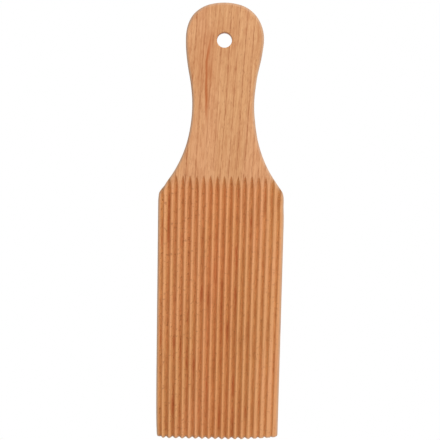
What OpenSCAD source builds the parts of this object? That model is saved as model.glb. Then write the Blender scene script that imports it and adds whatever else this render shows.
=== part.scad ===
// Gnocchi board: one piece of beech with a ridged blade and a paddle-shaped handle.
// It lies on its flat back with the ridges up, the handle along +Y and the width along X.
// The origin is on the back, in the middle of the board's length and width.

/* [Board] */
// Overall length, from the ridged end to the tip of the handle
board_l = 210; // [190:1:240]
// Width across the ridges
board_w = 60; // [52:1:72]
// Thickness of the wood
board_t = 10; // [8:0.5:14]
// Rounding of the sanded edges, on the face and on the back
edge_r = 0.8; // [0.4:0.1:1.1]
// Rounding of the two corners at the ridged end, seen from above
corner_r = 1.5; // [1.2:0.1:5]

/* [Handle] */
// Width of the head of the handle where it is widest
head_w = 36; // [34:0.5:40]
// Radius of the flattened tip
tip_r = 27; // [23:0.5:32]
// Radius of the head's corners, between the tip and the sides
head_corner_r = 15; // [12:0.5:16.5]
// Radius of the bulging sides of the head
head_side_r = 84; // [66:1:110]
// Width of the neck where it is narrowest
neck_w = 29; // [25:0.5:31]
// Distance from the tip to the narrowest part of the neck
neck_from_tip = 47; // [45:0.5:52]
// Radius of the hollow that runs from the neck out to the shoulder
neck_r = 64; // [52:1:80]
// Radius that turns the hollow into the straight side of the blade
shoulder_r = 11.5; // [6:0.5:18]

/* [Hanging hole] */
// Diameter of the hole
hole_d = 7; // [5:0.5:9]
// Distance from the tip to the middle of the hole
hole_from_tip = 17; // [14:0.5:24]
// Chamfer round both ends of the hole
hole_chamfer = 0.4; // [0.2:0.1:0.8]

/* [Ridges] */
// Number of grooves side by side, with a ridge between each pair
grooves = 18; // [12:1:20]
// Depth of a groove
groove_depth = 2.5; // [1.5:0.1:3.2]
// Width of the flat on top of a ridge
crest_w = 0.5; // [0.3:0.1:0.9]
// Width of the flat at the bottom of a groove
root_w = 0.3; // [0.2:0.1:0.6]
// Distance from the side of the blade to the middle of the outermost ridge
outer_ridge = 0.5; // [0.5:0.1:2]
// Radius of the milling cutter, which leaves the pointed run-outs at the handle end
cutter_r = 13; // [9:0.5:20]
// How far the points of the grooves reach past the start of the shoulders
groove_reach = 12.5; // [8:0.5:16]

/* [Hidden] */

// Largest gap between a true arc of the outline and the chord that stands for it
chord_gap = 0.03;
// Chords in the quarter round of an edge
edge_steps = 4;
// How far a cut runs past the wood, so that it leaves no skin
past = 0.2;
$fn = 96;

wood = [0.86, 0.65, 0.45];

// The right half of the outline is a chain of arcs, each tangent to the next.
// The ridged end lies on y = 0 until the finished board is moved to its origin.
tip_c = [0, board_l - tip_r];
neck_c = [neck_w / 2 + neck_r, board_l - neck_from_tip];
side_c = touching_outside(neck_c, neck_r, head_w / 2 - head_side_r, head_side_r, 1);
head_corner_c = touching_inside(tip_c, tip_r, side_c, head_side_r, head_corner_r);
shoulder_c = touching_outside(neck_c, neck_r, board_w / 2 - shoulder_r, shoulder_r, -1);
corner_c = [board_w / 2 - corner_r, corner_r];

// Each arc: centre, radius, 1 where it bulges or -1 where it is hollow, first angle, last angle
ARCS = [
    [tip_c, tip_r, 1, 90, heading(tip_c, head_corner_c)],
    [head_corner_c, head_corner_r, 1, heading(tip_c, head_corner_c), heading(side_c, head_corner_c)],
    [side_c, head_side_r, 1, heading(side_c, head_corner_c), heading(side_c, neck_c)],
    [neck_c, neck_r, -1, heading(neck_c, side_c), 360 + heading(neck_c, shoulder_c)],
    [shoulder_c, shoulder_r, 1, heading(shoulder_c, neck_c), 0],
    [corner_c, corner_r, 1, 0, -90],
];

// Section of the waste that rounding an edge takes off: inset from the outline, height above the face
WASTE = concat(
    [for (k = [0 : edge_steps]) let (a = 90 * k / edge_steps) [edge_r * (1 - sin(a)), edge_r * (cos(a) - 1)]],
    [[-past, -edge_r], [-past, past], [edge_r, past]]
);

groove_pitch = (board_w - 2 * outer_ridge) / grooves;
// Sideways run of a groove's flank for each millimetre of its depth
flank = (groove_pitch - crest_w - root_w) / 2 / groove_depth;
// Length over which the cutter lifts out of the wood
run_out = sqrt(2 * cutter_r * groove_depth - pow(groove_depth, 2));
// Where the grooves stop being full depth and the run-outs begin
groove_full_y = shoulder_c[1] + groove_reach - run_out;
// Height of the mouth of a groove's cut above the bottom of the groove
mouth = groove_depth + past;

// Angle of the direction from a to b
function heading(a, b) = atan2(b[1] - a[1], b[0] - a[0]);

// Centre, at a given x, of a circle that touches another from outside: above it for way 1, below it for -1
function touching_outside(c, c_r, x, r, way) = [x, c[1] + way * sqrt(pow(c_r + r, 2) - pow(c[0] - x, 2))];

// Centre of a circle of radius r that touches circles a and b from inside, on the far side of the line a to b
function touching_inside(a, a_r, b, b_r, r) =
    let (
        gap = norm(b - a),
        along = (b - a) / gap,
        reach = (pow(a_r - r, 2) - pow(b_r - r, 2) + pow(gap, 2)) / 2 / gap,
        rise = sqrt(pow(a_r - r, 2) - pow(reach, 2))
    )
    a + along * reach + [along[1], -along[0]] * rise;

// Chords that keep an arc within chord_gap of the true curve
function chords(arc) = max(1, ceil(abs(arc[4] - arc[3]) / (2 * acos(1 - chord_gap / arc[1]))));

// A point on an arc, moved in towards the wood by an inset, at the end of chord k of n
function arc_point(arc, inset, k, n) =
    let (angle = arc[3] + (arc[4] - arc[3]) * k / n, r = arc[1] - arc[2] * inset)
    arc[0] + r * [cos(angle), sin(angle)];

// The outline from the tip down the right side to the ridged end, moved in by an inset
function right_half(inset) = [
    for (i = [0 : len(ARCS) - 1])
        let (n = chords(ARCS[i]), last = i == len(ARCS) - 1 ? n : n - 1)
            for (k = [0 : last]) arc_point(ARCS[i], inset, k, n)
];

// The whole outline, moved in by an inset, clockwise from the tip
function outline(inset) =
    let (half = right_half(inset))
    concat(half, [for (i = [len(half) - 1 : -1 : 1]) [-half[i][0], half[i][1]]]);

// Half the width of a groove at a height above its bottom
function half_width(height) = root_w / 2 + flank * height;

// The paddle as it is sawn out, before any edge is rounded
module blank() {
    linear_extrude(board_t)
        polygon(outline(0));
}

// The waste along the face's edge, its section carried round the outline
module edge_waste() {
    sections = [for (w = WASTE) outline(w[0])];
    n = len(sections[0]);
    m = len(WASTE);
    points = [for (i = [0 : n - 1]) for (j = [0 : m - 1]) [sections[j][i][0], sections[j][i][1], WASTE[j][1]]];
    faces = [
        for (i = [0 : n - 1])
            for (j = [0 : m - 1])
                let (ahead = (i + 1) % n, next = (j + 1) % m)
                    [i * m + j, ahead * m + j, ahead * m + next, i * m + next]
    ];
    polyhedron(points, faces, convexity = 6);
}

// The stretch of a groove at full depth, out through the ridged end
module groove_channel() {
    rotate([90, 0, 0])
        linear_extrude(groove_full_y + past)
            polygon([
                [-half_width(0), -groove_depth],
                [half_width(0), -groove_depth],
                [half_width(mouth), past],
                [-half_width(mouth), past],
            ]);
}

// The run-out: a quarter of the cutter's V-shaped rim, from straight below its axle round to the handle side
module groove_run_out() {
    translate([0, 0, cutter_r - groove_depth])
        rotate([0, 90, 0])
            rotate_extrude(angle = 90)
                polygon([
                    [0, -half_width(mouth)],
                    [cutter_r - mouth, -half_width(mouth)],
                    [cutter_r, -half_width(0)],
                    [cutter_r, half_width(0)],
                    [cutter_r - mouth, half_width(mouth)],
                    [0, half_width(mouth)],
                ]);
}

// All the grooves, side by side across the blade
module groove_cuts() {
    for (i = [0 : grooves - 1])
        translate([(i - (grooves - 1) / 2) * groove_pitch, groove_full_y, board_t]) {
            groove_channel();
            groove_run_out();
        }
}

// The hanging hole with the chamfer at each end, as one turned shape
module hole_cut() {
    rim_r = hole_d / 2 + hole_chamfer + past;
    translate([0, board_l - hole_from_tip, 0])
        rotate_extrude()
            polygon([
                [0, -past],
                [rim_r, -past],
                [hole_d / 2, hole_chamfer],
                [hole_d / 2, board_t - hole_chamfer],
                [rim_r, board_t + past],
                [0, board_t + past],
            ]);
}

module board() {
    color(wood)
        translate([0, -board_l / 2, 0])
            difference() {
                blank();
                translate([0, 0, board_t])
                    edge_waste();
                mirror([0, 0, 1])
                    edge_waste();
                groove_cuts();
                hole_cut();
            }
}

board();
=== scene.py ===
"""A beech gnocchi board: one milled piece of wood, shown as in the photograph.

Lengths inside this script are in millimetres unless a name says otherwise. While the board is worked out,
y runs from 0 at the ridged end to the tip of the handle, x runs across the ridges and z up from the back.
"""
import math
import bpy
import numpy as np
from mathutils import Matrix, Vector


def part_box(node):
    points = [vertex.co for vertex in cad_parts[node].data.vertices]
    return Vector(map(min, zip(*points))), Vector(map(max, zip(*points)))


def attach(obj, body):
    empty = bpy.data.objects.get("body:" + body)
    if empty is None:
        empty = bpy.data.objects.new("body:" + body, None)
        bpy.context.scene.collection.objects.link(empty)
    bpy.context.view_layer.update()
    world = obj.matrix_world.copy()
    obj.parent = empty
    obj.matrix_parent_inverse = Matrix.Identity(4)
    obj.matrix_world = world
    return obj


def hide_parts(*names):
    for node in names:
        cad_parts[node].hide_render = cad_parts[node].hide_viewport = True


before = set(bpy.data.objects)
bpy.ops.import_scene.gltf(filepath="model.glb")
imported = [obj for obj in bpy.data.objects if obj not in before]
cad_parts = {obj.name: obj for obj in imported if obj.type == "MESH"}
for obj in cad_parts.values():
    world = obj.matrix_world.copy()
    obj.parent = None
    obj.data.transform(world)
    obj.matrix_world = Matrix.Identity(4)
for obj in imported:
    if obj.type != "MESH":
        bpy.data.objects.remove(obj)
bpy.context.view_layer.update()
MM = 0.001

# Differences too small to matter
SLIGHT = 1e-6
TINY = 1e-9

# The board's overall size comes from the frame, and the sizes below are the solid's own unless a comment
# says otherwise
low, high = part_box("board")
LENGTH = (high.y - low.y) / MM
WIDTH = (high.x - low.x) / MM
THICK = (high.z - low.z) / MM

# Outline of the handle and of the blade's corners
HEAD_W = 36.0
TIP_R = 27.0
HEAD_CORNER_R = 15.0
HEAD_SIDE_R = 84.0
NECK_W = 29.0
NECK_FROM_TIP = 47.0
NECK_R = 64.0
SHOULDER_R = 11.5
CORNER_R = 1.5
# The edges were rounded by hand, so they fall off over more of the face than the solid's plain round does,
# and the ridged end was hardly rounded at all
EDGE_IN = 1.3
EDGE_DOWN = 0.8
END_CRISP = 0.75

# Hanging hole. The solid's has a chamfer at both ends; this one has a rounded rim, and its lower half,
# HOLE_FLARE high, widens towards the back.
HOLE_R = 3.5
HOLE_FROM_TIP = 17.0
HOLE_EDGE_R = 0.4
HOLE_FLARE = 5.0

# Grooves
GROOVES = 18
GROOVE_DEPTH = 2.5
OUTER_RIDGE = 0.5
CUTTER_R = 13.0
GROOVE_REACH = 12.5
# Worn wood: crests a little wider than the solid's, and small roundings at the roots, the mouths and the end
CREST_W = 0.68
ROOT_SOFT = 0.08
MOUTH_SOFT = 0.1
MOUTH_CRISP = 0.06
END_SOFT = 0.16
EDGE_CREASE = 0.12


def heading(a, b):
    """Angle of the direction from point a to point b, in radians."""
    return math.atan2(b[1] - a[1], b[0] - a[0])


def outline_arcs():
    """The right half of the outline as a chain of tangent arcs, from the tip to the ridged end.

    Two circles touch where the distance between their centres is the sum of their radii, or the difference
    where one lies inside the other. Each arc is its centre, its radius and 1 for bulging or -1 for hollow.
    """
    tip = np.array([0.0, LENGTH - TIP_R])
    neck = np.array([NECK_W / 2 + NECK_R, LENGTH - NECK_FROM_TIP])
    side_x = HEAD_W / 2 - HEAD_SIDE_R
    side = np.array([side_x, neck[1] + math.sqrt((NECK_R + HEAD_SIDE_R) ** 2 - (neck[0] - side_x) ** 2)])
    shoulder_x = WIDTH / 2 - SHOULDER_R
    drop = math.sqrt((NECK_R + SHOULDER_R) ** 2 - (neck[0] - shoulder_x) ** 2)
    shoulder = np.array([shoulder_x, neck[1] - drop])
    gap = np.linalg.norm(side - tip)
    along = (side - tip) / gap
    reach = ((TIP_R - HEAD_CORNER_R) ** 2 - (HEAD_SIDE_R - HEAD_CORNER_R) ** 2 + gap ** 2) / 2 / gap
    rise = math.sqrt((TIP_R - HEAD_CORNER_R) ** 2 - reach ** 2)
    head_corner = tip + along * reach + np.array([along[1], -along[0]]) * rise
    corner = np.array([WIDTH / 2 - CORNER_R, CORNER_R])
    return [
        (tip, TIP_R, 1, math.pi / 2, heading(tip, head_corner)),
        (head_corner, HEAD_CORNER_R, 1, heading(tip, head_corner), heading(side, head_corner)),
        (side, HEAD_SIDE_R, 1, heading(side, head_corner), heading(side, neck)),
        (neck, NECK_R, -1, heading(neck, side), 2 * math.pi + heading(neck, shoulder)),
        (shoulder, SHOULDER_R, 1, heading(shoulder, neck), 0.0),
        (corner, CORNER_R, 1, 0.0, -math.pi / 2),
    ]


ARCS = outline_arcs()


# The outline was cleaned up by hand on a belt: each place is its side (-1 left, 1 right), its height y, how
# far the real edge stands out there, and how far along the edge that reaches
BELT_MARKS = (
    (-1, 205.0, 0.18, 2.8), (-1, 197.0, -0.18, 4.0), (-1, 172.0, 0.12, 6.5), (-1, 142.0, -0.23, 10.5),
    (-1, 127.3, 0.18, 2.4), (-1, 124.3, -0.14, 1.3), (-1, 121.4, 0.33, 1.6),
    (1, 192.5, 0.35, 4.8), (1, 178.5, -0.34, 4.8), (1, 154.0, 0.2, 7.0),
    (1, 127.0, 0.27, 4.0), (1, 122.2, 0.22, 2.0), (1, 116.2, -0.33, 4.2),
)
BELT_EDGE = 0.84
BELT_NARROWEST = 6.0
WORN_CORNER = 0.6
WORN_CORNER_FADE = 8.0
END_BOW = 1.7
END_BOW_FROM = 3.0
END_BOW_FADE = 14.0
CORNER_BOW = 0.5
CORNER_BOW_FROM = 24.0


def belted(points):
    """The worked points, moved to where the belt left them.

    Near the outline, from BELT_EDGE of the half width outwards, each mark moves them sideways by its height
    times a bell curve of y, and less where half the board is narrower than BELT_NARROWEST. The left corner of
    the ridged end is worn in by an exponential of y. The end itself draws back towards its right by the
    square of the distance from END_BOW_FROM, and towards its left corner by that from CORNER_BOW_FROM.
    """
    x, y, z = points.T
    half, _ = rim_at(y, 0.0)
    share = np.clip((np.abs(x) / np.maximum(half, SLIGHT) - BELT_EDGE) / (1 - BELT_EDGE), 0, 1)
    share = share * share * (3 - 2 * share) * np.clip(half / BELT_NARROWEST, 0, 1)
    out = np.zeros_like(x)
    for side, middle, height, reach in BELT_MARKS:
        out += np.where(x * side > 0, height * np.exp(-((y - middle) / reach) ** 2), 0)
    out -= np.where(x < 0, WORN_CORNER * np.exp(-y / WORN_CORNER_FADE), 0)
    moved = np.clip(x + np.sign(x) * share * out, -WIDTH / 2, WIDTH / 2)
    bow = END_BOW * (np.clip(x - END_BOW_FROM, 0, None) / (WIDTH / 2 - END_BOW_FROM)) ** 2
    bow += CORNER_BOW * (np.clip(-x - CORNER_BOW_FROM, 0, None) / (WIDTH / 2 - CORNER_BOW_FROM)) ** 2
    lifted = y + bow * np.clip(1 - y / END_BOW_FADE, 0, 1) ** 2
    return np.stack([moved, lifted, z], -1)


# Heights this close to an arc's end, or to the tip, count as on it
TOUCH = 1e-7
TIP_TOUCH = 1e-4


def rim_at(y, inset):
    """Where the outline, moved in by an inset, crosses each height y: half width and outward normal.

    On an arc the half width is its centre's x plus or minus the square root of radius squared less the
    height above the centre squared. Between the corner and the shoulder it is constant.
    """
    x = np.full_like(y, WIDTH / 2 - inset)
    normal = np.zeros(y.shape + (2,))
    normal[..., 0] = 1.0
    for centre, radius, bulge, first, last in ARCS:
        r = radius - bulge * inset
        ends = sorted((centre[1] + r * math.sin(first), centre[1] + r * math.sin(last)))
        on = (y >= ends[0] - TOUCH) & (y <= ends[1] + TOUCH)
        rise = np.clip((y[on] - centre[1]) / r, -1, 1)
        across = np.sqrt(1 - rise ** 2)
        x[on] = centre[0] + bulge * r * across
        normal[on, 0] = across
        normal[on, 1] = bulge * rise
    x[y > LENGTH - inset - TIP_TOUCH] = 0.0
    return np.maximum(x, 0.0), normal


PITCH = (WIDTH - 2 * OUTER_RIDGE) / GROOVES
MOUTH_HALF = (PITCH - CREST_W) / 2
STEEP = GROOVE_DEPTH / (math.hypot(MOUTH_HALF, ROOT_SOFT) - ROOT_SOFT)
RUN_OUT = math.sqrt(2 * CUTTER_R * GROOVE_DEPTH - GROOVE_DEPTH ** 2)
SHOULDER_Y = ARCS[4][0][1]
FULL_Y = SHOULDER_Y + GROOVE_REACH - RUN_OUT
PAST_POINTS = 1.5
JOIN_Y = SHOULDER_Y + GROOVE_REACH + PAST_POINTS
HOLE_Y = LENGTH - HOLE_FROM_TIP

# Spacing of the mesh's rows, and how clear they stay of the corners, the joins and the hole's rim
STRAIGHT_ROW = 2.2
RUN_OUT_ROW = 0.24
HANDLE_ROW_COUNT = 60
CLOSEST_ROWS = 0.008
ARC_STEP = math.radians(3.5)
LEAST_ARC_STEPS = 6
PAST_CORNER = 2.0
PAST_JOIN = 0.6
ROW_CLEAR = 0.5
RIM_CLEAR = 0.12

# The board went through the cutters a little to the left and not quite straight, so the first ridge is
# partly lost over the left edge. The blade stood a little higher along its middle and lower at its right,
# so the grooves came out deeper along the middle and shallower at the right.
SET_LEFT = 0.34
DRIFT = 0.37
CLOSE_SET = 0.997
FAN = 0.0077
FIRST_ASIDE = 0.15
SHALLOW = 1.3
SHALLOW_FROM = 8.0
SHALLOW_FULL = 27.5
SHALLOW_POWER = 1.5
SHALLOW_AT_TOP = 0.3
SHALLOW_FIRST = 0.55
SHALLOW_LAST = 0.3
SINK = 0.22
MIDDLE_DEEPER = 0.13
MIDDLE_HALF = 9.0
RUN_OUT_LONGER = 1.07
RIM_SHARE = 0.99
CUTTER_SPREAD = 0.07
CUTTER_SEED = 18
CUTTER_OWN = np.random.default_rng(CUTTER_SEED).uniform(-CUTTER_SPREAD, CUTTER_SPREAD, GROOVES)


def down_the_blade(y):
    """0 where the grooves reach their full depth, 1 at the ridged end."""
    return np.clip((FULL_Y - y) / FULL_Y, 0, 1)


def drift(y):
    """Sideways shift of all the grooves: it grows quickly below the shoulders and then levels out."""
    return -SET_LEFT - DRIFT * (1 - (1 - down_the_blade(y)) ** 2)


def fan(y):
    """How far the grooves draw together towards the ridged end, as a factor on their spacing."""
    return CLOSE_SET - FAN * down_the_blade(y) ** 2


def groove_place(index, y):
    """Place x of a groove if all stood evenly apart, counted from 0 at the left."""
    return (index - (GROOVES - 1) / 2) * PITCH * fan(y) + drift(y)


def groove_centre(index, y):
    """Centre line of a groove. The first cutter stood a little nearer to the second."""
    return groove_place(index, y) + FIRST_ASIDE * np.clip(1 - index, 0, 1)


def depth_at(index, y):
    """Depth of a groove along its length: it thins by SINK with the cube of y, then rises with the arc of the
    cutter's rim, drawn out a little along the board as it was fed on while the cutters rose. It is more along
    the middle by a bell curve of x, and less in the grooves at the right by a power of x that grows towards
    the ridged end. The outermost grooves, next to the rounded edges, are less deep again."""
    s = np.clip((y - FULL_Y) / RUN_OUT_LONGER, 0, CUTTER_R * RIM_SHARE)
    full = GROOVE_DEPTH - CUTTER_R + np.sqrt(CUTTER_R ** 2 - s ** 2)
    full = full + CUTTER_OWN[np.asarray(index).astype(int)] - SINK * np.clip(y / FULL_Y, 0, 1) ** 3
    middle = MIDDLE_DEEPER * np.exp(-(groove_place(index, y) / MIDDLE_HALF) ** 2)
    outer = SHALLOW_FIRST * np.clip(1 - index, 0, 1) + SHALLOW_LAST * np.clip(index - GROOVES + 2, 0, 1)
    full = full + (middle - outer) * np.clip(full / GROOVE_DEPTH, 0, 1)
    right = np.clip((groove_centre(index, 0 * y) - SHALLOW_FROM) / (SHALLOW_FULL - SHALLOW_FROM), 0, 1)
    along = SHALLOW_AT_TOP + (1 - SHALLOW_AT_TOP) * down_the_blade(y)
    return full - SHALLOW * right ** SHALLOW_POWER * along * np.clip(full / GROOVE_DEPTH, 0, 1)


def mouth_soft(y):
    """Rounding of a groove's mouth: constant on the blade, crisp where the cutter rises out of the wood."""
    out = np.clip((y - FULL_Y) / RUN_OUT, 0, 1)
    return MOUTH_SOFT + (MOUTH_CRISP - MOUTH_SOFT) * out * (2 - out)


def soft_ramp(g, soft):
    """Zero for g below -soft, g above +soft, and a parabola between that joins them without a corner."""
    return np.where(g > soft, g, np.clip(g + soft, 0, None) ** 2 / (4 * soft))


def face_height(x, y):
    """Height of the ridged face. Each groove is a V with a rounded root: its cut falls off from the groove's
    depth with the hyperbola of the distance from its centre line, and soft_ramp rounds its mouth."""
    index = np.clip(np.round((x - groove_place(0, y)) / (PITCH * fan(y))), 0, GROOVES - 1)
    away = x - groove_centre(index, y)
    cut = depth_at(index, y) - STEEP * (np.hypot(away, ROOT_SOFT) - ROOT_SOFT)
    return THICK - soft_ramp(cut, mouth_soft(y))


def row_heights():
    """Heights y of the mesh's rows: wide apart on the straight blade and close where the outline or the
    grooves turn. Rows on an arc sit at even steps of its angle, and the hole's rim has rows of its own."""
    tip, head_corner, corner = ARCS[0], ARCS[1], ARCS[5]
    rows = [np.arange(CORNER_R + PAST_CORNER, SHOULDER_Y - ROW_CLEAR, STRAIGHT_ROW)]
    rows.append(np.arange(SHOULDER_Y, JOIN_Y, RUN_OUT_ROW))
    rows.append(np.array([JOIN_Y]))
    for centre, radius, _, first, last in (tip, head_corner, corner):
        steps = max(LEAST_ARC_STEPS, int(abs(last - first) / ARC_STEP))
        angles = np.linspace(first, last, steps + 1)
        rows.append(centre[1] + (radius - EDGE_IN) * np.sin(angles))
    top = head_corner[0][1] + (HEAD_CORNER_R - EDGE_IN) * math.sin(head_corner[4])
    rows.append(np.linspace(JOIN_Y + PAST_JOIN, top - ROW_CLEAR, HANDLE_ROW_COUNT))
    rim = HOLE_Y + (HOLE_R + HOLE_EDGE_R) * np.sin(HOLE_ANGLES)
    rows = np.unique(np.round(np.concatenate(rows), 5))
    rows = rows[(rows < rim[0] - RIM_CLEAR) | (rows > rim[-1] + RIM_CLEAR)]
    rows = np.unique(np.round(np.concatenate([rows, rim]), 5))
    keep = np.concatenate([[True], np.diff(rows) > CLOSEST_ROWS])
    keep[-1] = True
    keep |= np.isin(rows, np.round(rim, 5))
    return rows[keep]


HOLE_STEPS = 28
HOLE_ANGLES = np.linspace(-math.pi / 2, math.pi / 2, HOLE_STEPS + 1)
ROWS = row_heights()
BLADE_ROWS = ROWS[ROWS <= JOIN_Y + SLIGHT]
HANDLE_ROWS = ROWS[ROWS >= JOIN_Y - SLIGHT]


# Where columns stand in each half of a groove: shares of the way from the root to the mouth, then the values
# of the cut round the mouth, as shares of its softness
ROOT_SHARES = (0.0, 0.06, 0.14, 0.3, 0.62)
MOUTH_SHARES = (1.0, 0.5, 0.0, -0.5, -1.0)


def groove_columns(y):
    """Positions x of the blade's columns on each row, so that mesh lines follow every root, mouth and crest.

    Inside a groove they stand where the cut reaches chosen values, which solves the hyperbola for the
    distance from the centre line, so they draw together where the groove runs out.
    """
    index = np.arange(GROOVES)[None, :]
    rows = y[:, None]
    depth = depth_at(index, rows)
    half_pitch = PITCH / 2 * fan(rows)

    def where_cut_is(value):
        run = np.clip(depth - value, 0, None) / STEEP + ROOT_SOFT
        return np.sqrt(np.clip(run ** 2 - ROOT_SOFT ** 2, 0, None))

    soft = mouth_soft(rows)
    mouth = where_cut_is(soft)
    half = [mouth * share for share in ROOT_SHARES]
    half += [where_cut_is(soft * share) for share in MOUTH_SHARES]
    half.append(half_pitch + 0 * depth)
    half = np.minimum(np.stack(half, -1), half_pitch[..., None])
    one = np.concatenate([-half[..., ::-1], half[..., 1:]], -1)[..., :-1]
    columns = (groove_centre(index, rows)[..., None] + one).reshape(len(y), -1)
    last = groove_centre(GROOVES - 1, rows) + half_pitch
    outer = np.full((len(y), 1), WIDTH)
    return np.concatenate([-outer, columns, last, outer], -1)


class Shell:
    """Collects grids of points and their faces, then welds them into one closed mesh."""

    def __init__(self):
        self.points = []
        self.quads = []
        self.many = []
        self.count = 0

    def add_points(self, x, y, z):
        x, y, z = np.broadcast_arrays(x, y, z)
        self.points.append(np.stack([x, y, z], -1).reshape(-1, 3))
        index = np.arange(x.size).reshape(x.shape) + self.count
        self.count += x.size
        return index

    def add_grid(self, index, flip=False, closed=False):
        """Quads between neighbouring rows and columns of a grid of point numbers."""
        if closed:
            index = np.concatenate([index, index[:1]], 0)
        quads = np.stack([index[:-1, :-1], index[:-1, 1:], index[1:, 1:], index[1:, :-1]], -1).reshape(-1, 4)
        self.quads.append(quads[:, ::-1] if flip else quads)

    def add_fans(self, fine, coarse, picks, flip=False):
        """One many-sided face for each cell of a coarse row, over the stretch of a fine row that it faces."""
        for k in range(len(picks) - 1):
            loop = list(fine[picks[k]:picks[k + 1] + 1]) + [coarse[k + 1], coarse[k]]
            self.many.append(loop[::-1] if flip else loop)

    def welded(self):
        """Points closer than the welding distance become one, and faces that shrink to a line are dropped."""
        points = np.concatenate(self.points)
        grid = np.round(points / WELD).astype(np.int64)
        _, first, inverse = np.unique(grid, axis=0, return_index=True, return_inverse=True)
        inverse = inverse.reshape(-1)
        quads = inverse[np.concatenate(self.quads)]
        kept = quads != np.roll(quads, -1, axis=1)
        count = kept.sum(1)
        crossed = (quads[:, 0] == quads[:, 2]) | (quads[:, 1] == quads[:, 3])
        fours = quads[(count == 4) & ~crossed]
        threes = quads[(count == 3) & ~crossed]
        threes = threes[kept[(count == 3) & ~crossed]].reshape(-1, 3)
        faces = fours.tolist() + threes.tolist()
        for loop in self.many:
            ring = inverse[np.array(loop)]
            ring = ring[ring != np.roll(ring, -1)]
            if len(set(ring.tolist())) >= 3:
                faces.append(ring.tolist())
        return points[first], faces


WELD = 0.0005
CUT = "cut_depth"
RIDGED = "ridged"
# Attribute of the edge's rounding, which the material uses for a painted sheen and painted shade
RIM_SHEEN_AND_SHADE = "rim_sheen_and_shade"
EDGE_STEPS = 8
WALL_STEPS = (0.1, 0.4, 0.7)
HOLE_ROUND_STEPS = 4
HOLE_FLARE_STEPS = 8
HOLE_SLIVER = 0.05


def edge_profile(steps):
    """Quarter of an ellipse: how far out from the inset line and how far down, for each step of its angle."""
    a = np.linspace(0, math.pi / 2, steps + 1)
    return EDGE_IN * np.sin(a), EDGE_DOWN * (1 - np.cos(a))


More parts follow.
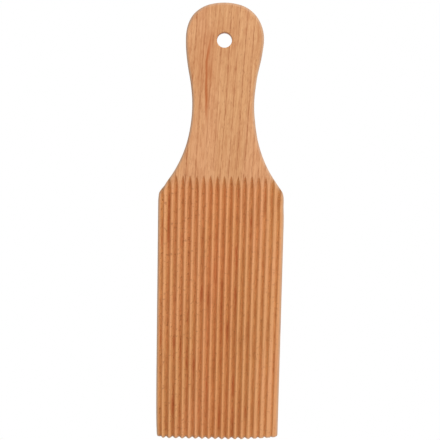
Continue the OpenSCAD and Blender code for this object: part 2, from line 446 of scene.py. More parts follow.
def board_shell():
    """The whole board: ridged face, handle face, back, edge carried round the outline, and the hole."""
    shell = Shell()
    y = BLADE_ROWS
    rim, _ = rim_at(y, EDGE_IN)
    x = np.clip(groove_columns(y), -rim[:, None], rim[:, None])
    yy = np.broadcast_to(y[:, None], x.shape)
    blade = shell.add_points(x, yy, face_height(x, yy))
    shell.add_grid(blade)

    # Columns of the handle and of the back: every crest and every groove's centre line. Each meets its own
    # column of the blade, and the outermost ones meet the outline.
    coarse_x = np.arange(-GROOVES, GROOVES + 1) * PITCH / 2
    all_columns = groove_columns(y[:1]).shape[1]
    per_groove = (all_columns - 3) // GROOVES
    fine_at = 1 + np.arange(0, 2 * GROOVES + 1) * per_groove // 2
    fine_at[[0, -1]] = 0, all_columns - 1

    def flat_sheet(rows, z):
        """A flat face in two halves, left and right, each clipped between the hole and the inset outline."""
        rim, _ = rim_at(rows, EDGE_IN)
        hole = np.sqrt(np.clip((HOLE_R + HOLE_EDGE_R) ** 2 - (rows - HOLE_Y) ** 2, 0, None))
        hole[hole < HOLE_SLIVER] = 0.0
        halves = []
        for side in (-1, 1):
            cols = coarse_x[coarse_x * side >= -TINY]
            lowest, highest = (-rim, -hole) if side < 0 else (hole, rim)
            x = np.clip(cols[None, :], lowest[:, None], highest[:, None])
            yy = np.broadcast_to(rows[:, None], x.shape)
            halves.append(shell.add_points(x, yy, np.full(x.shape, z)))
        return halves

    left, right = flat_sheet(HANDLE_ROWS, THICK)
    shell.add_grid(left[1:])
    shell.add_grid(right[1:])
    middle = len(coarse_x) // 2
    shell.add_fans(blade[-1], left[1], fine_at[:middle + 1])
    shell.add_fans(blade[-1], right[1], fine_at[middle:])

    left, right = flat_sheet(ROWS, 0.0)
    shell.add_grid(left[1:], flip=True)
    shell.add_grid(right[1:], flip=True)
    end_rim = rim_at(ROWS[:1], EDGE_IN)[0][0]
    first = np.clip(groove_columns(ROWS[:1])[0], -end_rim, end_rim)
    fine = shell.add_points(first, np.full(first.shape, ROWS[0]), np.zeros(first.shape))
    shell.add_fans(fine, left[1], fine_at[:middle + 1], flip=True)
    shell.add_fans(fine, right[1], fine_at[middle:], flip=True)

    # The edge: one closed path round the inset outline, with the edge's profile carried along it. On the face
    # the grooves cut into the profile, and below it come three steps of the wall and the back's own rounding.
    rim, normal = rim_at(ROWS, EDGE_IN)
    bottom = np.stack([first, np.full(first.shape, ROWS[0])], -1)
    right_side = np.stack([rim[1:], ROWS[1:]], -1)
    left_side = right_side[:-1][::-1] * [-1, 1]
    path = np.concatenate([bottom, right_side, left_side])
    down = np.tile([0.0, -1.0], (len(first), 1))
    right_out = normal[1:].copy()
    left_out = right_out[:-1][::-1] * [-1, 1]
    out = np.concatenate([down, right_out, left_out])
    round_out, round_down = edge_profile(EDGE_STEPS)
    px = path[:, None, 0] + out[:, None, 0] * round_out
    py = path[:, None, 1] + out[:, None, 1] * round_out
    worn = np.clip(round_out - (EDGE_IN - END_SOFT), 0, END_SOFT)
    worn = END_SOFT - np.sqrt(END_SOFT ** 2 - worn ** 2)
    crisp = 1 - END_CRISP * np.clip(-out[:, 1:], 0, 1) ** 2
    rounded = THICK - round_down * crisp
    crease = np.maximum(EDGE_CREASE * round_out / EDGE_IN, SLIGHT)
    pz = rounded - soft_ramp(rounded - face_height(px, py) + worn, crease)
    brow = pz[:, -1:]
    wall = np.array(WALL_STEPS)
    wall_z = brow + (EDGE_DOWN - brow) * wall
    wall_x = np.repeat(px[:, -1:], len(wall), 1)
    wall_y = np.repeat(py[:, -1:], len(wall), 1)
    foot_out, foot_up = round_out[::-1], round_down[::-1]
    qx = path[:, None, 0] + out[:, None, 0] * foot_out
    qy = path[:, None, 1] + out[:, None, 1] * foot_out
    qz = np.broadcast_to(foot_up, qx.shape)
    edge = shell.add_points(
        np.concatenate([px, wall_x, qx], 1),
        np.concatenate([py, wall_y, qy], 1),
        np.concatenate([pz, wall_z, qz], 1),
    )
    shell.add_grid(edge, closed=True)

    # The hole: a rounded rim, a straight wall, and a lower half that widens towards the back with the square
    # of the distance, as a drill leaves it; this profile is turned about the hole's axis
    a = np.linspace(0, math.pi / 2, HOLE_ROUND_STEPS + 1)
    lower = np.linspace(HOLE_FLARE, 0, HOLE_FLARE_STEPS + 1)
    radius = HOLE_R + HOLE_EDGE_R * np.concatenate([1 - np.sin(a), (1 - lower / HOLE_FLARE) ** 2])
    height = np.concatenate([THICK - HOLE_EDGE_R * (1 - np.cos(a)), lower])
    turn = np.concatenate([HOLE_ANGLES, math.pi - HOLE_ANGLES[-2:0:-1]])
    hx = np.abs(np.cos(turn)) * np.sign(np.cos(turn)) * (np.abs(np.cos(turn)) > TINY)
    hy = HOLE_Y + np.sin(turn)[:, None] * radius
    hole = shell.add_points(hx[:, None] * radius, hy, np.tile(height, (len(turn), 1)))
    shell.add_grid(hole, flip=True, closed=True)
    return shell.welded()


CUT_FADE = 0.8
SHARP_ANGLE = math.radians(40)


def cut_share(points):
    """How deep in a groove each point lies, 0 on the sanded face, 1 at a root. It fades down the end wall."""
    face = face_height(points[:, 0], points[:, 1])
    above = np.clip(1 - (face - points[:, 2]) / CUT_FADE, 0, 1)
    return np.clip((THICK - face) / GROOVE_DEPTH, 0, 1) * above


def ridged_share(points):
    """1 on the ridged part of the face, crests and grooves alike, and 0 on the rest. It comes in smoothly
    over the length where the cutters rose out of the wood, and fades down the sides."""
    x, y, z = points.T
    down = np.clip((FULL_Y + RUN_OUT - y) / RUN_OUT, 0, 1)
    half, _ = rim_at(y, 0.0)
    inside = np.clip((half - np.abs(x)) / EDGE_IN, 0, 1)
    above = np.clip(1 - (face_height(x, y) - z) / CUT_FADE, 0, 1)
    return down * down * (3 - 2 * down) * inside * above


def edge_share(points):
    """1 on the outline and 0 from EDGE_IN inwards, where the edge was sanded by hand. Each point is tested
    against the outline moved in by every step of the edge's profile, and the share fades just below the edge.
    """
    x, y, z = points.T
    inset = np.zeros_like(x)
    for step in EDGE_IN - edge_profile(EDGE_STEPS)[0]:
        half, _ = rim_at(y, step)
        inside = (np.abs(x) < half + WELD) & (y > step - WELD) & (y < LENGTH - step + WELD)
        inset = np.where(inside, np.maximum(inset, step), inset)
    brow = np.minimum(face_height(x, y), THICK - EDGE_DOWN)
    return (1 - inset / EDGE_IN) * np.clip(1 - (brow - z) / CUT_FADE, 0, 1)


def make_board():
    """The shell's faces on its belted points, with the shares that the material reads."""
    points, faces = board_shell()
    mesh = bpy.data.meshes.new("beech_board")
    mesh.from_pydata(((belted(points) - [0, LENGTH / 2, 0]) * MM).tolist(), [], faces)
    shares = {CUT: cut_share(points), RIDGED: ridged_share(points), RIM_SHEEN_AND_SHADE: edge_share(points)}
    for name, share in shares.items():
        mesh.attributes.new(name, "FLOAT", "POINT").data.foreach_set("value", share.astype(np.float32))
    mesh.shade_smooth()
    mesh.set_sharp_from_angle(angle=SHARP_ANGLE)
    board = bpy.data.objects.new("beech_board", mesh)
    bpy.context.scene.collection.objects.link(board)
    return board


# Node sockets of the colour mix, which share one name
MIX_SHARE, MIX_FIRST, MIX_SECOND, MIX_RESULT = 0, 6, 7, 2


class Bench:
    """A node tree with short ways to place a node, set its values and wire it up."""

    def __init__(self, tree):
        self.tree = tree

    def node(self, kind, label="", **settings):
        made = self.tree.nodes.new(kind)
        made.label = label
        for name, value in settings.items():
            setattr(made, name, value)
        return made

    def wire(self, source, target):
        self.tree.links.new(source, target)

    def feed(self, socket, value):
        """A socket gets either a wire from another socket or a plain value."""
        if isinstance(value, bpy.types.NodeSocket):
            self.wire(value, socket)
        else:
            socket.default_value = value

    def sum(self, operation, *values, label="", clamp=False):
        """One step of arithmetic on up to three values."""
        made = self.node("ShaderNodeMath", label, operation=operation, use_clamp=clamp)
        for socket, value in zip(made.inputs, values):
            self.feed(socket, value)
        return made.outputs[0]

    def vector(self, operation, *values, label="", scale=None):
        made = self.node("ShaderNodeVectorMath", label, operation=operation)
        for socket, value in zip(made.inputs, values):
            self.feed(socket, value)
        if scale is not None:
            self.feed(made.inputs["Scale"], scale)
        return made.outputs[0]

    def noise(self, place, scale, detail, roughness, label=""):
        """Noise about 0.5: its scale, how many finer layers it has and how much each of them counts."""
        made = self.node("ShaderNodeTexNoise", label)
        self.feed(made.inputs["Vector"], place)
        self.feed(made.inputs["Scale"], scale)
        self.feed(made.inputs["Detail"], detail)
        self.feed(made.inputs["Roughness"], roughness)
        return made.outputs["Fac"]

    def ramp(self, value, low_end, high_end, label="", smooth=True, to_low=0.0, to_high=1.0):
        """A value, turned from its run between two ends into a run from to_low to to_high."""
        made = self.node("ShaderNodeMapRange", label, interpolation_type="SMOOTHSTEP" if smooth else "LINEAR")
        for socket, setting in zip(made.inputs[:5], (value, low_end, high_end, to_low, to_high)):
            self.feed(socket, setting)
        return made.outputs["Result"]

    def blend(self, share, first, second, kind="MIX", label=""):
        made = self.node("ShaderNodeMix", label, data_type="RGBA", blend_type=kind, clamp_factor=True)
        self.feed(made.inputs[MIX_SHARE], share)
        self.feed(made.inputs[MIX_FIRST], first)
        self.feed(made.inputs[MIX_SECOND], second)
        return made.outputs[MIX_RESULT]


def group(name, inputs, outputs):
    """A node group with named sockets. Inputs are (name, kind, default), outputs are (name, kind)."""
    tree = bpy.data.node_groups.new(name, "ShaderNodeTree")
    for socket_name, kind, default in inputs:
        socket = tree.interface.new_socket(name=socket_name, in_out="INPUT", socket_type="NodeSocket" + kind)
        if default is not None:
            socket.default_value = default
    for socket_name, kind in outputs:
        tree.interface.new_socket(name=socket_name, in_out="OUTPUT", socket_type="NodeSocket" + kind)
    bench = Bench(tree)
    return bench, bench.node("NodeGroupInput").outputs, bench.node("NodeGroupOutput").inputs


# Growth rings: the stretch of each noise, and the stages of a ring as shares of its width
WANDER_STRETCH = (0.10, 0.016, 0.10)
JAG_STRETCH = (1.5, 0.26, 1.5)
BROKEN_STRETCH = (0.35, 0.17, 0.35)
DARKENS = (0.35, 0.95)
DARKENS_SHARE = 0.2
LATE_EDGE = (0.80, 0.93)
PALE_AGAIN = (0.95, 1.0)
WEAKEST_RING = 0.5
BROKEN_LINE = (0.36, 0.58)
BROKEN_LEAST = 0.35


def rings_group():
    """Growth rings: cylinders about the tree's pith, which runs nearly along the board, left of it and below.

    Rings are counted outwards as distance over spacing. Within a ring the wood darkens slowly and then
    quickly to its late edge, and is pale again just past it. Each ring has its own strength.
    """
    b, given, put = group("growth_rings", [
        ("Place", "Vector", None),
        ("Spacing", "Float", 2.72),
        ("Start", "Float", 0.3),
        ("Pith X", "Float", -60.0),
        ("Pith Z", "Float", -46.0),
        ("Wander", "Float", 1.0),
        ("Jag", "Float", 0.5),
    ], [("Late wood", "Float")])
    split = b.node("ShaderNodeSeparateXYZ")
    b.wire(given["Place"], split.inputs[0])
    across = b.sum("SUBTRACT", split.outputs["X"], given["Pith X"])
    deep = b.sum("SUBTRACT", split.outputs["Z"], given["Pith Z"])
    square = b.sum("ADD", b.sum("MULTIPLY", across, across), b.sum("MULTIPLY", deep, deep))
    far = b.sum("SQRT", square)
    slow = b.vector("MULTIPLY", given["Place"], WANDER_STRETCH, label="slow wander")
    quick = b.vector("MULTIPLY", given["Place"], JAG_STRETCH, label="jagged edge")
    sway = b.sum("SUBTRACT", b.noise(slow, 1.0, 1.0, 0.5), 0.5)
    jag = b.sum("SUBTRACT", b.noise(quick, 1.0, 2.0, 0.6), 0.5)
    moved = b.sum("MULTIPLY_ADD", sway, given["Wander"], b.sum("MULTIPLY", jag, given["Jag"]))
    count = b.sum("ADD", b.sum("DIVIDE", b.sum("ADD", far, moved), given["Spacing"]), given["Start"])
    number = b.sum("FLOOR", count)
    within = b.sum("FRACT", count)
    slow_rise = b.ramp(within, *DARKENS)
    late = b.ramp(within, *LATE_EDGE)
    past = b.ramp(within, *PALE_AGAIN, to_low=1.0, to_high=0.0)
    late = b.sum("MULTIPLY", late, 1 - DARKENS_SHARE)
    dark = b.sum("MULTIPLY", b.sum("MULTIPLY_ADD", slow_rise, DARKENS_SHARE, late), past)
    own = b.node("ShaderNodeTexWhiteNoise", "ring strength", noise_dimensions="1D")
    b.wire(number, own.inputs["W"])
    strength = b.ramp(own.outputs["Value"], 0.0, 1.0, smooth=False, to_low=WEAKEST_RING, to_high=1.0)
    broken = b.vector("MULTIPLY", given["Place"], BROKEN_STRETCH, label="broken line")
    broken = b.ramp(b.noise(broken, 1.0, 2.0, 0.6), *BROKEN_LINE, to_low=BROKEN_LEAST)
    strength = b.sum("MULTIPLY", strength, broken)
    b.wire(b.sum("MULTIPLY", dark, strength), put["Late wood"])
    return b.tree


def fibres_group():
    """Fibres and vessels: noise stretched along the board, so it shows as streaks and, on end grain, dots."""
    b, given, put = group("fibres", [
        ("Place", "Vector", None), ("Width", "Float", 0.6), ("Length", "Float", 12.0),
        ("Detail", "Float", 2.0),
    ], [("Streak", "Float")])
    wide = b.sum("DIVIDE", 1.0, given["Width"])
    long = b.sum("DIVIDE", 1.0, given["Length"])
    stretch = b.node("ShaderNodeCombineXYZ")
    b.wire(wide, stretch.inputs["X"])
    b.wire(long, stretch.inputs["Y"])
    b.wire(wide, stretch.inputs["Z"])
    place = b.vector("MULTIPLY", given["Place"], stretch.outputs[0])
    b.wire(b.noise(place, 0.5, given["Detail"], 0.55), put["Streak"])
    return b.tree


# A fleck fades out between these distances from its middle, and the faintest one keeps this share
FLECK_FADES = (0.12, 0.34)
FLECK_FAINTEST = 0.35


def flecks_group():
    """Ray flecks: short dark spindles along the grain, one in some cells of a stretched cell pattern."""
    b, given, put = group("ray_flecks", [
        ("Place", "Vector", None), ("Width", "Float", 0.5), ("Length", "Float", 3.0),
        ("Share", "Float", 0.4),
    ], [("Fleck", "Float")])
    stretch = b.node("ShaderNodeCombineXYZ")
    b.wire(b.sum("DIVIDE", 1.0, given["Width"]), stretch.inputs["X"])
    b.wire(b.sum("DIVIDE", 1.0, given["Length"]), stretch.inputs["Y"])
    b.wire(b.sum("DIVIDE", 1.0, given["Width"]), stretch.inputs["Z"])
    cell = b.node("ShaderNodeTexVoronoi", feature="F1")
    b.wire(b.vector("MULTIPLY", given["Place"], stretch.outputs[0]), cell.inputs["Vector"])
    cell.inputs["Scale"].default_value = 1.0
    shape = b.ramp(cell.outputs["Distance"], *FLECK_FADES, to_low=1.0, to_high=0.0)
    pick = b.node("ShaderNodeSeparateColor")
    b.wire(cell.outputs["Color"], pick.inputs[0])
    chosen = b.sum("LESS_THAN", pick.outputs[0], given["Share"])
    depth = b.ramp(pick.outputs[1], 0.0, 1.0, smooth=False, to_low=FLECK_FAINTEST, to_high=1.0)
    b.wire(b.sum("MULTIPLY", b.sum("MULTIPLY", shape, chosen), depth), put["Fleck"])
    return b.tree


def place_group(name, bench, tree, **values):
    """A node group placed in a tree, with the inputs that are named here set or wired."""
    made = bench.node("ShaderNodeGroup", name)
    made.node_tree = tree
    for key, value in values.items():
        bench.feed(made.inputs[key.replace("_", " ")], value)
    return made.outputs


def linear(red, green, blue):
    """A colour given in the eight-bit values seen on screen, as the renderer's linear light. The numbers are
    those of the standard curve of a screen."""
    seen = np.array([red, green, blue]) / 255
    light = np.where(seen <= 0.04045, seen / 12.92, ((seen + 0.055) / 1.055) ** 2.4)
    return (*light.tolist(), 1.0)


def streak_mask(b, place):
    """A dark mineral streak left of the hole: a thin line, straight at first and leaning right further up,
    and a fainter bloom to the right of it, in a wide and very faint halo. All thin out towards the ends."""
    split = b.node("ShaderNodeSeparateXYZ", "streak place")
    b.wire(place, split.inputs[0])
    wobble = b.noise(b.vector("MULTIPLY", place, STREAK_STRETCH), 1.0, 2.0, 0.5, label="streak wobble")
    up = b.sum("SUBTRACT", split.outputs["Y"], STREAK_BEND_Y)
    line = b.sum("MULTIPLY_ADD", b.sum("MAXIMUM", up, 0.0), STREAK_LEAN, STREAK_X)
    line = b.sum("MULTIPLY_ADD", up, STREAK_BACK, line)
    line = b.sum("MULTIPLY_ADD", b.sum("SUBTRACT", wobble, 0.5), STREAK_WOBBLE, line)
    aside = b.sum("SUBTRACT", split.outputs["X"], line)
    left = b.ramp(aside, -STREAK_LEFT, 0.0)
    line_right = b.ramp(aside, 0.0, STREAK_THIN, to_low=1.0, to_high=0.0)
    from_bloom = b.sum("ABSOLUTE", b.sum("SUBTRACT", split.outputs["Y"], BLOOM_Y))
    bloom = b.ramp(from_bloom, 0.0, BLOOM_HALF, to_low=BLOOM_SHARE, to_high=0.0)
    bloom_right = b.sum("MULTIPLY", b.ramp(aside, BLOOM_WIDE / 3, BLOOM_WIDE, to_low=1.0, to_high=0.0), bloom)
    right = b.sum("MAXIMUM", line_right, bloom_right)
    along = b.sum("ABSOLUTE", b.sum("SUBTRACT", split.outputs["Y"], STREAK_MIDDLE_Y))
    ends = b.ramp(along, STREAK_FULL, STREAK_HALF, to_low=1.0, to_high=0.0)
    skin = b.ramp(split.outputs["Z"], THICK - STREAK_DEEP, THICK - STREAK_SKIN)
    strength = b.sum("MULTIPLY", b.sum("MULTIPLY", left, right), b.sum("MULTIPLY", ends, STREAK_STRENGTH))
    halo = b.ramp(b.sum("ABSOLUTE", aside), 0.0, HALO_WIDE, to_low=HALO_SHARE, to_high=0.0, label="halo")
    from_halo = b.sum("ABSOLUTE", b.sum("SUBTRACT", split.outputs["Y"], HALO_Y))
    halo = b.sum("MULTIPLY", halo, b.ramp(from_halo, HALO_HALF / 3, HALO_HALF, to_low=1.0, to_high=0.0))
    return b.sum("MULTIPLY", b.sum("MAXIMUM", strength, halo), skin)


STREAK_STRETCH = (0.15, 0.11, 0.15)
STREAK_X = -8.5
STREAK_BEND_Y = 78.0
STREAK_LEAN = 0.2
STREAK_BACK = -0.02
STREAK_WOBBLE = 0.8
STREAK_LEFT = 0.7
STREAK_THIN = 1.7
STREAK_MIDDLE_Y = 71.0
STREAK_FULL = 9.8
STREAK_HALF = 24.5
STREAK_SKIN = 1.5
STREAK_DEEP = 5.0
STREAK_STRENGTH = 0.95
BLOOM_Y = 73.0
BLOOM_HALF = 9.5
BLOOM_WIDE = 5.0
BLOOM_SHARE = 0.5
HALO_Y = 79.0
HALO_HALF = 19.0
HALO_WIDE = 9.5
HALO_SHARE = 0.24
GRAIN_LEAN = 0.055


def beech():
    """Raw sanded beech, cut from one tree: every pattern is solid, so rings and fibres run through it."""
    material = bpy.data.materials.new("beech")
    material.use_nodes = True
    b = Bench(material.node_tree)
    b.tree.nodes.clear()
    out = b.node("ShaderNodeOutputMaterial")
    wood = b.node("ShaderNodeBsdfPrincipled", "beech")
    b.wire(wood.outputs[0], out.inputs["Surface"])
    wood.inputs["Specular IOR Level"].default_value = DULL_SHINE
    spot = b.node("ShaderNodeTexCoord")
    place = b.vector("SCALE", spot.outputs["Object"], label="millimetres", scale=1 / MM)
    split = b.node("ShaderNodeSeparateXYZ")
    b.wire(place, split.inputs[0])
    across = split.outputs["X"]
    # The grain leans to the right going up
    lean = b.sum("MULTIPLY", split.outputs["Y"], -GRAIN_LEAN)
    lean_x = b.node("ShaderNodeCombineXYZ", "lean")
    b.wire(lean, lean_x.inputs["X"])
    grain = b.vector("ADD", place, lean_x.outputs[0], label="along the grain")

    rings = place_group("rings", b, RINGS, Place=grain)
    broad = place_group("broad fibres", b, FIBRES, Place=grain, Width=1.1, Length=16.0)["Streak"]
    middle = place_group("fibres", b, FIBRES, Place=grain, Width=0.42, Length=13.0)["Streak"]
    short = place_group("short fibres", b, FIBRES, Place=grain, Width=0.40, Length=1.7)["Streak"]
    fine = place_group("fine fibres", b, FIBRES, Place=grain, Width=0.16, Length=4.0)["Streak"]
    torn = place_group("torn fibres", b, FIBRES, Place=place, Width=0.8, Length=0.6)["Streak"]
    flecks = place_group("flecks", b, FLECKS, Place=grain, Width=0.6, Length=2.4, Share=0.4)["Fleck"]
    drift = b.noise(b.vector("MULTIPLY", grain, DRIFT_STRETCH), 1.0, 2.0, 0.5, label="colour drift")
    cut = b.node("ShaderNodeAttribute", "cut depth", attribute_name=CUT).outputs["Fac"]
    ridged = b.node("ShaderNodeAttribute", "ridged part", attribute_name=RIDGED).outputs["Fac"]
    # Share of the edge's rounding, which carries the painted sheen and painted shade
    sanded = b.node("ShaderNodeAttribute", "edge sheen and shade", attribute_name=RIM_SHEEN_AND_SHADE).outputs["Fac"]

    plain = b.blend(b.ramp(drift, *DRIFT_TURNS), PINK, TAN)
    colour = plain
    # Each layer of fibres: its noise, two values of it, how much of the layer there is at each, its colour
    for streaks, low_value, high_value, at_low, at_high, tint in (
        (broad, 0.36, 0.64, 0.22, 0.0, DARK_BAND),
        (middle, 0.34, 0.56, 0.30, 0.0, DARK_FIBRE),
        (short, 0.34, 0.54, 0.34, 0.0, DARK_FIBRE),
        (middle, 0.55, 0.75, 0.0, 0.18, LIGHT_FIBRE),
        (fine, 0.32, 0.6, 0.34, 0.0, DARK_FIBRE),
    ):
        colour = b.blend(b.ramp(streaks, low_value, high_value, to_low=at_low, to_high=at_high), colour, tint)
    late = b.sum("MULTIPLY", rings["Late wood"], b.ramp(cut, *LATE_CUT, to_low=1.0, to_high=LATE_IN_GROOVES))
    colour = b.blend(late, colour, LATE_WOOD)
    colour = b.blend(b.sum("MULTIPLY", flecks, FLECK_SHARE), colour, FLECK_BROWN)
    colour = b.blend(streak_mask(b, place), colour, STREAK_BROWN)
    rough = b.ramp(across, *TORN_BAND, to_low=TORN_RIGHT, to_high=TORN_LEFT)
    rough = b.sum("MULTIPLY", rough, b.ramp(torn, *TORN_TURNS))
    # Partly wear and partly painted highlight: near the top of each ridge the colour goes back to the plain
    # wood without its darker fibres, so a narrow line along the crests reads lighter
    calm = b.ramp(cut, *CREST_CUT, to_low=CREST_WEAR_AND_HIGHLIGHT, to_high=0.0)
    crest = b.sum("MULTIPLY", ridged, calm, label="polished and highlighted crests")
    colour = b.blend(crest, colour, plain)
    # Tint by depth in a groove: partly the milled wood's own tone, partly painted light that sets how bright
    # crests and roots read, lightening the shade in the roots
    milled = b.blend(b.ramp(cut, *TONE_AND_LIGHT_CUT), CREST_TONE_AND_LIGHT, ROOT_TONE_AND_LIGHT)
    share = b.sum("MAXIMUM", ridged, b.ramp(cut, *SHARE_CUT))
    colour = b.blend(share, colour, b.blend(1.0, colour, milled, kind="MULTIPLY"))
    # The ridges are redder along the middle of the blade
    from_middle = b.sum("ABSOLUTE", b.sum("SUBTRACT", across, RUDDY_X))
    middle_zone = b.ramp(from_middle, *RUDDY_BAND, to_low=1.0, to_high=0.0)
    colour = b.blend(b.sum("MULTIPLY", middle_zone, ridged), colour, RUDDY, kind="MULTIPLY")
    # The grooves are paler at the right of the blade and at its left edge
    pale_zone = b.sum("MAXIMUM", b.ramp(across, *PALE_RIGHT), b.ramp(across, *PALE_LEFT))
    colour = b.blend(b.sum("MULTIPLY", pale_zone, b.ramp(cut, *PALE_CUT)), colour, PALE, kind="MULTIPLY")
    warm = b.noise(b.vector("MULTIPLY", place, SCORCH_STRETCH), 1.0, 3.0, 0.6, label="scorched grooves")
    colour = b.blend(b.sum("MULTIPLY", rough, ridged), colour, TORN)
    scorch = b.sum("MULTIPLY", b.ramp(warm, *SCORCH_TURNS, to_high=SCORCH_SHARE), b.ramp(cut, *SCORCH_CUT))
    colour = b.blend(scorch, colour, SCORCH)
    # Painted sheen and painted shade on the edge's rounding: a pale greyish sheen over it, and a darker
    # painted shade at the left, which faces away from the light
    rim_sheen_and_shade_tone = b.blend(b.ramp(across, *RIM_SHADE_TURNS), RIM_SHADE_LEFT, RIM_SHEEN)
    colour = b.blend(b.ramp(sanded, 0.0, RIM_SHEEN_FULL, to_high=RIM_SHEEN_SHARE), colour, rim_sheen_and_shade_tone)
    b.wire(colour, wood.inputs["Base Color"])

    height = b.sum("MULTIPLY_ADD", fine, FINE_RELIEF, b.sum("MULTIPLY", flecks, FLECK_RELIEF))
    height = b.sum("MULTIPLY_ADD", middle, MIDDLE_RELIEF, height)
    bump = b.node("ShaderNodeBump")
    bump.inputs["Strength"].default_value = RELIEF_STRENGTH
    bump.inputs["Distance"].default_value = RELIEF_METRES
    b.wire(height, bump.inputs["Height"])
    b.wire(bump.outputs[0], wood.inputs["Normal"])
    b.wire(b.ramp(fine, *ROUGH_TURNS, to_low=ROUGHEST, to_high=SMOOTHEST), wood.inputs["Roughness"])
    return material


PINK = linear(218, 161, 114)
TAN = linear(214, 161, 110)
DARK_BAND = linear(196, 130, 79)
DARK_FIBRE = linear(175, 108, 62)
LIGHT_FIBRE = linear(233, 181, 133)
LATE_WOOD = linear(162, 94, 48)
FLECK_BROWN = linear(135, 79, 46)
TORN = linear(150, 80, 30)
STREAK_BROWN = linear(174, 92, 36)
SCORCH = linear(188, 87, 37)
# Tints for the crests and for the roots of the grooves, partly the milled wood's tone and partly painted
# light: the root's lightens the shade that falls in the grooves
CREST_TONE_AND_LIGHT = (1.045, 0.94, 0.865, 1.0)
ROOT_TONE_AND_LIGHT = (1.115, 1.13, 1.015, 1.0)
RUDDY = (1.0, 0.95, 0.92, 1.0)
PALE = (1.05, 1.10, 1.15, 1.0)
# Painted sheen on the edge's rounding, and the painted shade it turns to at the left
RIM_SHEEN = linear(190, 160, 135)
RIM_SHADE_LEFT = linear(163, 143, 124)

# Stretch of the slow noises, and the values of a noise between which its effect turns from none to full
DRIFT_STRETCH = (0.07, 0.018, 0.07)
DRIFT_TURNS = (0.36, 0.64)
SCORCH_STRETCH = (0.22, 0.05, 0.22)
SCORCH_TURNS = (0.54, 0.66)
TORN_TURNS = (0.42, 0.30)
ROUGH_TURNS = (0.2, 0.8)

# Depths in a groove, as shares of its full depth, between which an effect comes in or goes out. The third
# turns the crest's tint into the root's, tints that are partly the milled wood's tone and partly painted
# light, and the fourth brings both in where the ridged share has faded.
LATE_CUT = (0.0, 0.4)
CREST_CUT = (0.05, 0.35)
TONE_AND_LIGHT_CUT = (0.0, 0.18)
SHARE_CUT = (0.0, 0.15)
PALE_CUT = (0.1, 0.4)
SCORCH_CUT = (0.25, 0.8)

# Places x across the board between which an effect comes in; the ruddy band is counted from its own middle
RUDDY_X = 0.5
RUDDY_BAND = (4.0, 10.0)
PALE_RIGHT = (12.0, 22.0)
PALE_LEFT = (-25.5, -27.0)
TORN_BAND = (-4.0, -16.0)
# Where the edge's painted shade at the left gives way to its painted sheen
RIM_SHADE_TURNS = (-14.0, -6.0)

# How much of each effect there is where it is full, and for the edge's painted sheen and shade also where it
# becomes full
LATE_IN_GROOVES = 0.35
FLECK_SHARE = 0.42
TORN_RIGHT = 0.32
TORN_LEFT = 0.55
# Share of the crests' wear and painted highlight
CREST_WEAR_AND_HIGHLIGHT = 0.6
SCORCH_SHARE = 0.5
# Where the edge's painted sheen and shade become full, and how much of them there is
RIM_SHEEN_FULL = 0.6
RIM_SHEEN_SHARE = 0.45

# The surface: fibres stand up and flecks lie in
FINE_RELIEF = 0.6
MIDDLE_RELIEF = 0.5
FLECK_RELIEF = -0.7
RELIEF_STRENGTH = 0.4
RELIEF_METRES = 0.00007
ROUGHEST = 0.62
SMOOTHEST = 0.48
DULL_SHINE = 0.35

RINGS = rings_group()
FIBRES = fibres_group()
FLECKS = flecks_group()

board = make_board()
board.data.materials.append(beech())
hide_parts("board")
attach(board, "root")


# Studio
FLOOR_HALF = 3.0
FLOOR_DROP = -0.0002
WHITE = (1.0, 1.0, 1.0, 1.0)
SKY_ABOVE = 0.72
SKY_BELOW = 0.5
SKY_DOWN = 1.1
SKY_DOWN_FROM = -0.4
SKY_BLEND = 0.15
SKY_BRIGHT_SIDE = (0.75, 0.66, 0.0)
SKY_FACING = 1.22
SKY_AWAY = 0.78
KEY_PLACE = (0.30, 0.56, 0.84)
KEY_SIZE = 0.8
KEY_WATTS = 6.1
AIM = (0.0, 0.0, 0.0)


def make_floor():
    """A plain white floor under the board, for the camera only and only from above. Every other ray passes
    through it, so it neither lights nor shades the board."""
    mesh = bpy.data.meshes.new("floor")
    corners = [(x * FLOOR_HALF, y * FLOOR_HALF, FLOOR_DROP) for x, y in ((-1, -1), (1, -1), (1, 1), (-1, 1))]
    mesh.from_pydata(corners, [], [(0, 1, 2, 3)])
    floor = bpy.data.objects.new("floor", mesh)
    bpy.context.scene.collection.objects.link(floor)
    material = bpy.data.materials.new("floor")
    material.use_nodes = True
    b = Bench(material.node_tree)
    b.tree.nodes.clear()
    out = b.node("ShaderNodeOutputMaterial")
    paint = b.node("ShaderNodeEmission")
    paint.inputs["Color"].default_value = WHITE
    clear = b.node("ShaderNodeBsdfTransparent")
    ray = b.node("ShaderNodeLightPath")
    side = b.node("ShaderNodeNewGeometry")
    mix = b.node("ShaderNodeMixShader")
    seen = b.sum("SUBTRACT", ray.outputs["Is Camera Ray"], side.outputs["Backfacing"], clamp=True)
    b.wire(seen, mix.inputs[0])
    b.wire(clear.outputs[0], mix.inputs[1])
    b.wire(paint.outputs[0], mix.inputs[2])
    b.wire(mix.outputs[0], out.inputs["Surface"])
    floor.data.materials.append(material)


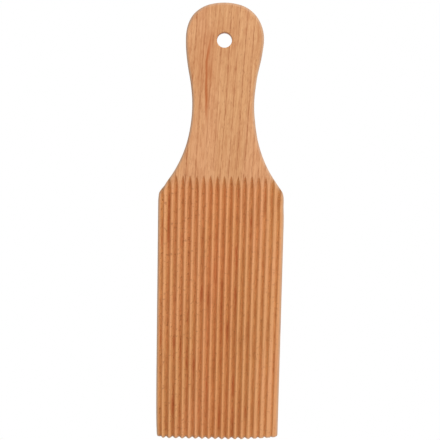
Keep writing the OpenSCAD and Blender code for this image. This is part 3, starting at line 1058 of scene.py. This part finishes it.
def make_lights():
    """A white studio: the camera sees it white all round. It lights from above, more faintly from just below
    the board's level and most from straight below, all a little more from one side than from the other. One
    large lamp stands beyond the tip of the handle, high up and to its right."""
    world = bpy.data.worlds.new("studio")
    world.use_nodes = True
    b = Bench(world.node_tree)
    b.tree.nodes.clear()
    out = b.node("ShaderNodeOutputWorld")
    backdrop = b.node("ShaderNodeBackground")
    backdrop.inputs["Color"].default_value = WHITE
    way = b.node("ShaderNodeTexCoord")
    split = b.node("ShaderNodeSeparateXYZ")
    b.wire(way.outputs["Generated"], split.inputs[0])
    light = b.ramp(split.outputs["Z"], -SKY_BLEND, SKY_BLEND, to_low=SKY_BELOW, to_high=SKY_ABOVE)
    light = b.sum("ADD", light, b.ramp(split.outputs["Z"], SKY_DOWN_FROM, -1.0, to_high=SKY_DOWN - SKY_BELOW))
    towards = b.node("ShaderNodeVectorMath", "towards the bright side", operation="DOT_PRODUCT")
    b.wire(way.outputs["Generated"], towards.inputs[0])
    towards.inputs[1].default_value = SKY_BRIGHT_SIDE
    facing = b.ramp(towards.outputs["Value"], -1.0, 1.0, to_low=SKY_AWAY, to_high=SKY_FACING)
    light = b.sum("MULTIPLY", light, facing)
    ray = b.node("ShaderNodeLightPath")
    shown = b.sum("MAXIMUM", light, ray.outputs["Is Camera Ray"])
    b.wire(shown, backdrop.inputs["Strength"])
    b.wire(backdrop.outputs[0], out.inputs["Surface"])
    bpy.context.scene.world = world
    lamp = bpy.data.lights.new("key", "AREA")
    lamp.shape = "SQUARE"
    lamp.size = KEY_SIZE
    lamp.energy = KEY_WATTS
    key = bpy.data.objects.new("key", lamp)
    key.location = KEY_PLACE
    key.rotation_euler = (Vector(AIM) - Vector(KEY_PLACE)).to_track_quat("-Z", "Y").to_euler()
    bpy.context.scene.collection.objects.link(key)


# The photograph's view: the camera hangs over the board, tipped and rolled by a few degrees
CAMERA_TIP = math.radians(7.4164)
CAMERA_ROLL = math.radians(1.1379)
CAMERA_PLACE = (-0.000423, 0.056092, 0.411232)
CAMERA_SENSOR = 36.0
CAMERA_FOCUS_PIXELS = 850
PICTURE_PIXELS = 440
CAMERA_LENS = CAMERA_SENSOR * CAMERA_FOCUS_PIXELS / PICTURE_PIXELS


def make_camera():
    """The camera, from its own axes: right and down along the picture, and forward into it, each given in the
    board's frame."""
    tip_s, tip_c = math.sin(CAMERA_TIP), math.cos(CAMERA_TIP)
    roll_s, roll_c = math.sin(CAMERA_ROLL), math.cos(CAMERA_ROLL)
    right = Vector((roll_c, roll_s * tip_c, -roll_s * tip_s))
    down = Vector((roll_s, -roll_c * tip_c, roll_c * tip_s))
    forward = Vector((0.0, -tip_s, -tip_c))
    turn = Matrix((right, -down, -forward)).transposed()
    data = bpy.data.cameras.new("camera")
    data.sensor_width = CAMERA_SENSOR
    data.lens = CAMERA_LENS
    camera = bpy.data.objects.new("camera", data)
    camera.matrix_world = Matrix.Translation(CAMERA_PLACE) @ turn.to_4x4()
    bpy.context.scene.collection.objects.link(camera)
    bpy.context.scene.camera = camera


make_floor()
make_lights()
make_camera()
bpy.context.scene.view_settings.view_transform = "Standard"
